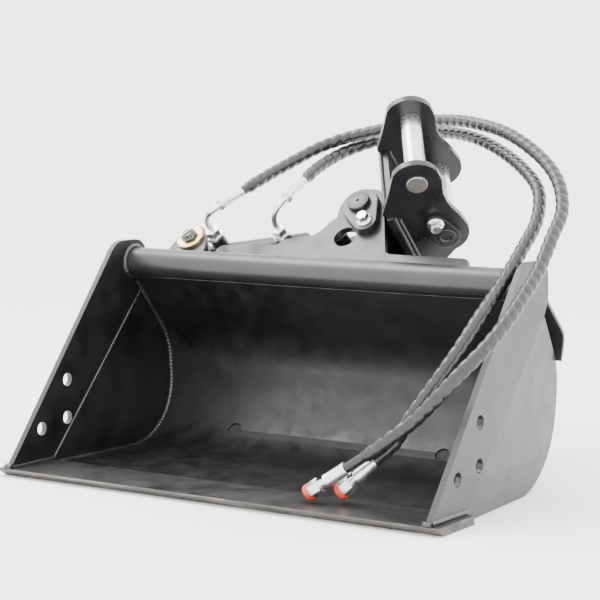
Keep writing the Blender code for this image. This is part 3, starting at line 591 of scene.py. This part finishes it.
def arc(centre, radius, start, end, steps):
    """Points on an arc, with its start and end in degrees."""
    made = []
    for step in range(steps + 1):
        angle = math.radians(start + (end - start) * step / steps)
        made.append((centre[0] + radius * math.cos(angle), centre[1] + radius * math.sin(angle)))
    return made


def seam_distance(y, z):
    """How far behind the seam between side strip and side plate a point lies."""
    along = Vector((SEAM_TOP[0] - SEAM_BOTTOM[0], SEAM_TOP[1] - SEAM_BOTTOM[1])).normalized()
    return max(0.0, (y - SEAM_BOTTOM[0]) * along.y - (z - SEAM_BOTTOM[1]) * along.x)


def side_weld(name, x, line, radius, **more):
    """A weld at x along the side view's (y, z) points."""
    weld(name, [DATUM @ Vector((x, y, z)) for y, z in line], radius, "bucket", **more)


def add_bucket_welds():
    line = [(0.3220, 0.2990)]
    line += arc((BACK_Y - UPPER_RADIUS, UPPER_Z), UPPER_RADIUS, UPPER_DEGREES, 0, 16)
    line += arc((BACK_Y - HEEL_RADIUS, HEEL_Z), HEEL_RADIUS, 0, -90, 28)
    line.append((EDGE_DEPTH + 0.004, HEEL_Z - HEEL_RADIUS))
    for side, sign in (("left", -1), ("right", 1)):
        inner = []
        for y, z in line:
            x = min(0.3897, SIDE_FACE - SIDE_TAPER * seam_distance(y, z)) - 0.0005
            inner.append(DATUM @ Vector((sign * x, y, z + 0.0003)))
        weld(f"{side}_shell_weld", inner, 0.0046, "bucket", pitch=0.0065)
        side_weld(f"{side}_edge_weld_outer", sign * 0.3985, ((-0.0105, 0.0175), (0.0960, 0.0165)), 0.0052,
                  pitch=0.0060)
        side_weld(f"{side}_edge_weld_inner", sign * 0.3900, ((-0.0120, 0.0150), (0.0900, 0.0150)), 0.0040)
        front = [DATUM @ Vector((sign * x, -0.0125, 0.0165)) for x in (0.3880, 0.4010)]
        weld(f"{side}_edge_weld_front", front, 0.0050, "bucket")
        side_weld(f"{side}_seam_weld", sign * 0.3915, (SEAM_BOTTOM, SEAM_TOP), 0.0034, pitch=0.0075)
        ring = arc((TUBE_Y, TUBE_Z), TUBE_RADIUS + 0.0018, 0, 360, 60)
        side_weld(f"{side}_tube_weld", sign * 0.3893, ring, 0.0052)
    floor = [DATUM @ Vector((x, EDGE_DEPTH + 0.0005, 0.0100)) for x in (-0.388, 0.388)]
    weld("floor_weld", floor, 0.0036, "bucket")
    top = [DATUM @ Vector((x, 0.3200, 0.3050)) for x in (-0.386, 0.386)]
    weld("shell_top_weld", top, 0.0020, "bucket")


# ---------------------------------------------------------------- tilt plates, pins and bolts

def flange_bolt(name, matrix, body, slot, node, recess=False):
    """A flange bolt head with a chamfered hexagon. recess gives a shallow dished top."""
    rows = [(0.0055, -0.0002), (0.0136, 0.0), (0.0140, 0.0005), (0.0140, 0.0016), (0.0132, 0.0024),
            (0.0106, 0.0040), (0.0090, 0.0046), (0.0090, 0.0118), (0.0083, 0.0136)]
    rows += [(0.0055, 0.0128), (0.0010, 0.0126)] if recess else [(0.0040, 0.0137), (0.0010, 0.0137)]
    piece = turned(name, rows, matrix, ZINC, 72, hexagonal({6: 1.155, 7: 1.155, 8: 1.04}))
    return place(piece, body, slot, node)


def add_tilt_frame():
    refined("front_tilt_plate", "bucket", PLATE_PAINT, width=0.0010)
    for node in ("rear_tilt_plate", "front_anchor_lug", "rear_anchor_lug", "tilt_plate_brace"):
        refined(node, "bucket", PLATE_PAINT, width=0.0010)
    refined("pivot_retainer", "bucket", PLATE_PAINT, width=0.0016)
    pin = TILT @ Matrix.Translation((0, PIVOT_Y, 0))
    rows = ((0.0150, -0.1490), (PIN_RADIUS, -0.1465), (PIN_RADIUS, -0.0102), (0.0190, -0.0102),
            (0.0200, -0.0096), (0.0200, -0.0034), (0.0196, -0.0026), (0.0186, -0.0021), (0.0032, -0.0021),
            (0.0021, -0.0030), (0.0019, -0.0060))
    piece = turned("main_pivot_pin_piece", rows, pin, PLATE_PAINT, 64)
    place(piece, "bucket", "black_paint", "main_pivot_pin")
    flange_bolt("pivot_retainer_bolt_piece", TILT @ Matrix.Translation(PIVOT_BOLT),
                "bucket", "white_zinc", "pivot_retainer_bolt")

    anchor = TILT @ Matrix.Translation((*ANCHOR, 0))
    rows = ((0.0140, -0.1490), (0.0150, -0.1480), (0.0150, -0.1403), (0.0100, -0.1403), (0.0100, -0.0092),
            (0.0092, -0.0070), (0.0086, -0.0066), (0.0026, -0.0066), (0.0018, -0.0074), (0.0017, -0.0090))
    piece = turned("anchor_pin_piece", rows, anchor, DARK_STEEL, 48)
    place(piece, "bucket", "ground_steel", "anchor_pin")
    for node in ("anchor_washer_inner", "anchor_washer_outer"):
        refined(node, "bucket", YELLOW, "yellow_zinc", 0.0005)
    add_castle_nut(anchor)
    add_cotter(anchor)
    for node in ("anchor_spacer_front", "anchor_spacer_rear"):
        refined(node, "bucket", GROUND, "ground_steel", 0.0006)
    across = [TILT @ Vector((x, 0.0180, -0.0225)) for x in (-0.252, 0.246)]
    weld("plate_base_weld", across, 0.0042, "bucket", pitch=0.0060)
    for name, z in (("front_plate_rear_weld", -0.0375), ("rear_plate_weld", -0.1270)):
        weld(name, [TILT @ Vector((x, 0.0140, z)) for x in (-0.215, 0.215)], 0.0036, "bucket")


def add_castle_nut(anchor):
    """A castle nut: a round crown with six slots above the hexagon."""
    def crown(row, angle):
        if row in (1, 2, 3):
            return min(1 / math.cos(off_flat(angle)), 1.14)
        return 0.86 if abs(off_flat(angle)) < math.radians(9) and row in (6, 7) else 1.0

    rows = ((0.0116, -0.0170), (0.0124, -0.0169), (0.0131, -0.0160), (0.0131, -0.0128), (0.0124, -0.0120),
            (0.0120, -0.0118), (0.0120, -0.0112), (0.0118, -0.0094), (0.0110, -0.0088))
    piece = turned("anchor_nut_piece", rows, anchor, DARK_STEEL, 120, crown)
    place(piece, "bucket", "ground_steel", "anchor_nut")


def add_cotter(anchor):
    """A split pin: an eye, two legs through the crown, and one leg bent out."""
    eye = [(0.0150 + 0.0030 * math.cos(a), 0.0190 + 0.0030 * math.sin(a), -0.0045)
           for a in (math.radians(235 - 29 * k) for k in range(11))]
    legs = [(0.0125, 0.0155, -0.0050), (0.0040, 0.0040, -0.0052), (-0.0060, -0.0100, -0.0052),
            (-0.0110, -0.0165, -0.0060), (-0.0135, -0.0185, -0.0070)]
    path = evenly([anchor @ Vector(point) for point in eye[::-1] + legs], 0.0008)
    piece = sweep("anchor_cotter_piece", path, 0.0011, ZINC, 12)
    place(piece, "bucket", "ground_steel", "anchor_cotter")


# ---------------------------------------------------------------- hanger

def across_hanger(place_in_hanger):
    """A matrix with its z axis along the hanger's pins."""
    return HANGER @ Matrix.Translation(place_in_hanger) @ Matrix.Rotation(math.radians(90), 4, "Y")


def add_hanger():
    for node in ("near_ear", "far_ear", "hanger_base_plate"):
        refined(node, "hanger", PAINT, width=0.0011)
    refined("link_pin_retainer", "hanger", PAINT, width=0.0010)

    start = ((0.0060, -PIN_HALF), (PIN_CHAMFER_RADIUS, -PIN_HALF), (PIN_RADIUS, -0.0884))
    rows = (*start, (PIN_RADIUS, 0.0882), (0.0160, 0.0899), (0.0040, PIN_HALF))
    piece = turned("arm_pin_piece", rows, across_hanger(ARM_PIN), GROUND, 64, looks=(PIN_END,),
                   choose=lambda row: 0 if row == 2 else 1)
    place(piece, "hanger", "ground_steel", "arm_pin")
    rows = (*start, (PIN_RADIUS, 0.0800), (PIN_RADIUS, 0.0935), (0.0163, 0.0949), (0.0098, 0.0949),
            (0.0088, 0.0941), (0.0078, 0.0927), (0.0030, 0.0926))
    piece = turned("link_pin_piece", rows, across_hanger(LINK_PIN), GROUND, 64, looks=(PAINT,),
                   choose=lambda row: 0 if 0 <= row < 3 else 1)
    place(piece, "hanger", "ground_steel", "link_pin")
    flange_bolt("link_pin_bolt_piece", across_hanger(LINK_BOLT), "hanger", "white_zinc", "link_pin_bolt",
                recess=True)

    for node in ("pivot_boss", "pivot_boss_web", "lever_plate"):
        refined(node, "hanger", PAINT, width=0.0008)
    for node in ("front_bush", "rear_bush"):
        refined(node, "hanger", BRONZE, "bearing_bronze", 0.0006)
    for name, x, y, front, back, radius in (
            ("near_weld_outer", 0.0885, 0.0665, 0.014, -0.178, 0.0044),
            ("near_weld_second", 0.0880, 0.0735, 0.006, -0.085, 0.0036),
            ("near_weld_inner", 0.0740, 0.0690, 0.016, -0.178, 0.0036),
            ("far_weld_inner", -0.0740, 0.0690, 0.016, -0.178, 0.0036),
            ("far_weld_outer", -0.0885, 0.0665, 0.014, -0.178, 0.0044)):
        weld(name, [HANGER @ Vector((x, y, z)) for z in (front, back)], radius, "hanger", pitch=0.0055)
    foot = [HANGER @ Vector((x, 0.0540, 0.0190)) for x in (-0.074, 0.074)]
    weld("base_front_weld", foot, 0.0034, "hanger")


# ---------------------------------------------------------------- cylinder

def add_cylinder():
    for node in ("cylinder_base_eye", "cylinder_barrel", "cylinder_gland"):
        refined(node, "cylinder", PAINT, width=0.0008)
    for number, (along, middle) in enumerate(zip(PORTS, NUT_MIDDLE), 1):
        refined(f"port_boss_{number}", "cylinder", PAINT, width=0.0008)
        height = middle - CYLINDER_Z
        rows = ((0.0120, -0.0150), (0.0138, -0.0150), (0.0143, -0.0140), (0.0143, -0.0090), (0.0136, -0.0080),
                (0.0118, -0.0078), (0.0110, -0.0070), (0.0114, -0.0064), (0.0121, -0.0056), (0.0121, 0.0050),
                (0.0112, 0.0062), (0.0080, 0.0069), (0.0055, 0.0069))
        matrix = CYLINDER @ Matrix.Translation((along, 0, height)) @ Matrix.Rotation(math.radians(20), 4, "Z")
        shape = hexagonal({1: 1.08, 2: 1.15, 3: 1.15, 4: 1.08, 7: 1.06, 8: 1.15, 9: 1.15, 10: 1.06})
        piece = turned(f"port_nut_{number}_piece", rows, matrix, ZINC, 72, shape)
        place(piece, "cylinder", "white_zinc", f"port_nut_{number}")
        base = [CYLINDER @ Vector((along + RING_WELD * math.cos(a), RING_WELD * math.sin(a), 0.0215))
                for a in (math.tau * k / 24 for k in range(25))]
        weld(f"port_weld_{number}", base, 0.0026, "cylinder")
    refined("piston_rod", "rod", CHROME, "hard_chrome", 0.0006)
    refined("piston", "rod", GROUND, "ground_steel", 0.0005)
    refined("piston_seal", "rod", SEAL, "black_rubber", 0.0005)
    refined("rod_eye", "rod", PAINT, width=0.0008)
    refined("lever_pin", "rod", GROUND, "ground_steel", 0.0006)


# ---------------------------------------------------------------- stage

FLOOR_REACH, FLOOR_BACK, FLOOR_TURN, FLOOR_HIGH = 9.0, 6.0, 3.0, 5.0
FLOOR_DROP = 0.0002


def add_floor():
    """A pale floor that curves up far behind the object."""
    bm = bmesh.new()
    profile = [(-FLOOR_REACH, 0.0), (FLOOR_BACK, 0.0)]
    for degrees in range(10, 91, 10):
        angle = math.radians(degrees)
        profile.append((FLOOR_BACK + FLOOR_TURN * math.sin(angle), FLOOR_TURN - FLOOR_TURN * math.cos(angle)))
    profile.append((FLOOR_BACK + FLOOR_TURN, FLOOR_HIGH))
    heading = Matrix.Rotation(math.radians(CAMERA_TURN), 4, "Z")
    rows = []
    for y, z in profile:
        ends = [heading @ Vector((x, y, z - FLOOR_DROP)) for x in (-FLOOR_REACH, FLOOR_REACH)]
        rows.append([bm.verts.new(end) for end in ends])
    for low, up in zip(rows, rows[1:]):
        bm.faces.new((low[0], low[1], up[1], up[0]))
    made, tree, shader = new_material("studio_floor")
    shader.inputs["Base Color"].default_value = (0.93, 0.93, 0.93, 1)
    shader.inputs["Roughness"].default_value = 0.9
    floor = to_object("floor", bm, made, 80)


def area_light(name, location, target, size, power, size_y=None):
    """A soft square or rectangular light that points at target."""
    light = bpy.data.lights.new(name, "AREA")
    light.energy = power
    light.size = size
    if size_y:
        light.shape = "RECTANGLE"
        light.size_y = size_y
    placed = bpy.data.objects.new(name, light)
    placed.location = location
    placed.rotation_euler = (Vector(target) - Vector(location)).to_track_quat("-Z", "Y").to_euler()
    bpy.context.scene.collection.objects.link(placed)


def add_light():
    world = bpy.data.worlds.new("studio")
    world.use_nodes = True
    background = world.node_tree.nodes["Background"]
    background.inputs["Color"].default_value = (1, 1, 1, 1)
    background.inputs["Strength"].default_value = 4.2
    bpy.context.scene.world = world
    area_light("top_soft", (-1.1, 0.0, 2.2), (0, 0.25, 0.3), 1.3, 52, 1.1)
    area_light("right_soft", (3.0, 0.5, 1.2), (0.3, 0.25, 0.2), 1.4, 16)


add_bucket()
add_bucket_welds()
add_tilt_frame()
add_hanger()
add_cylinder()
add_floor()
add_light()
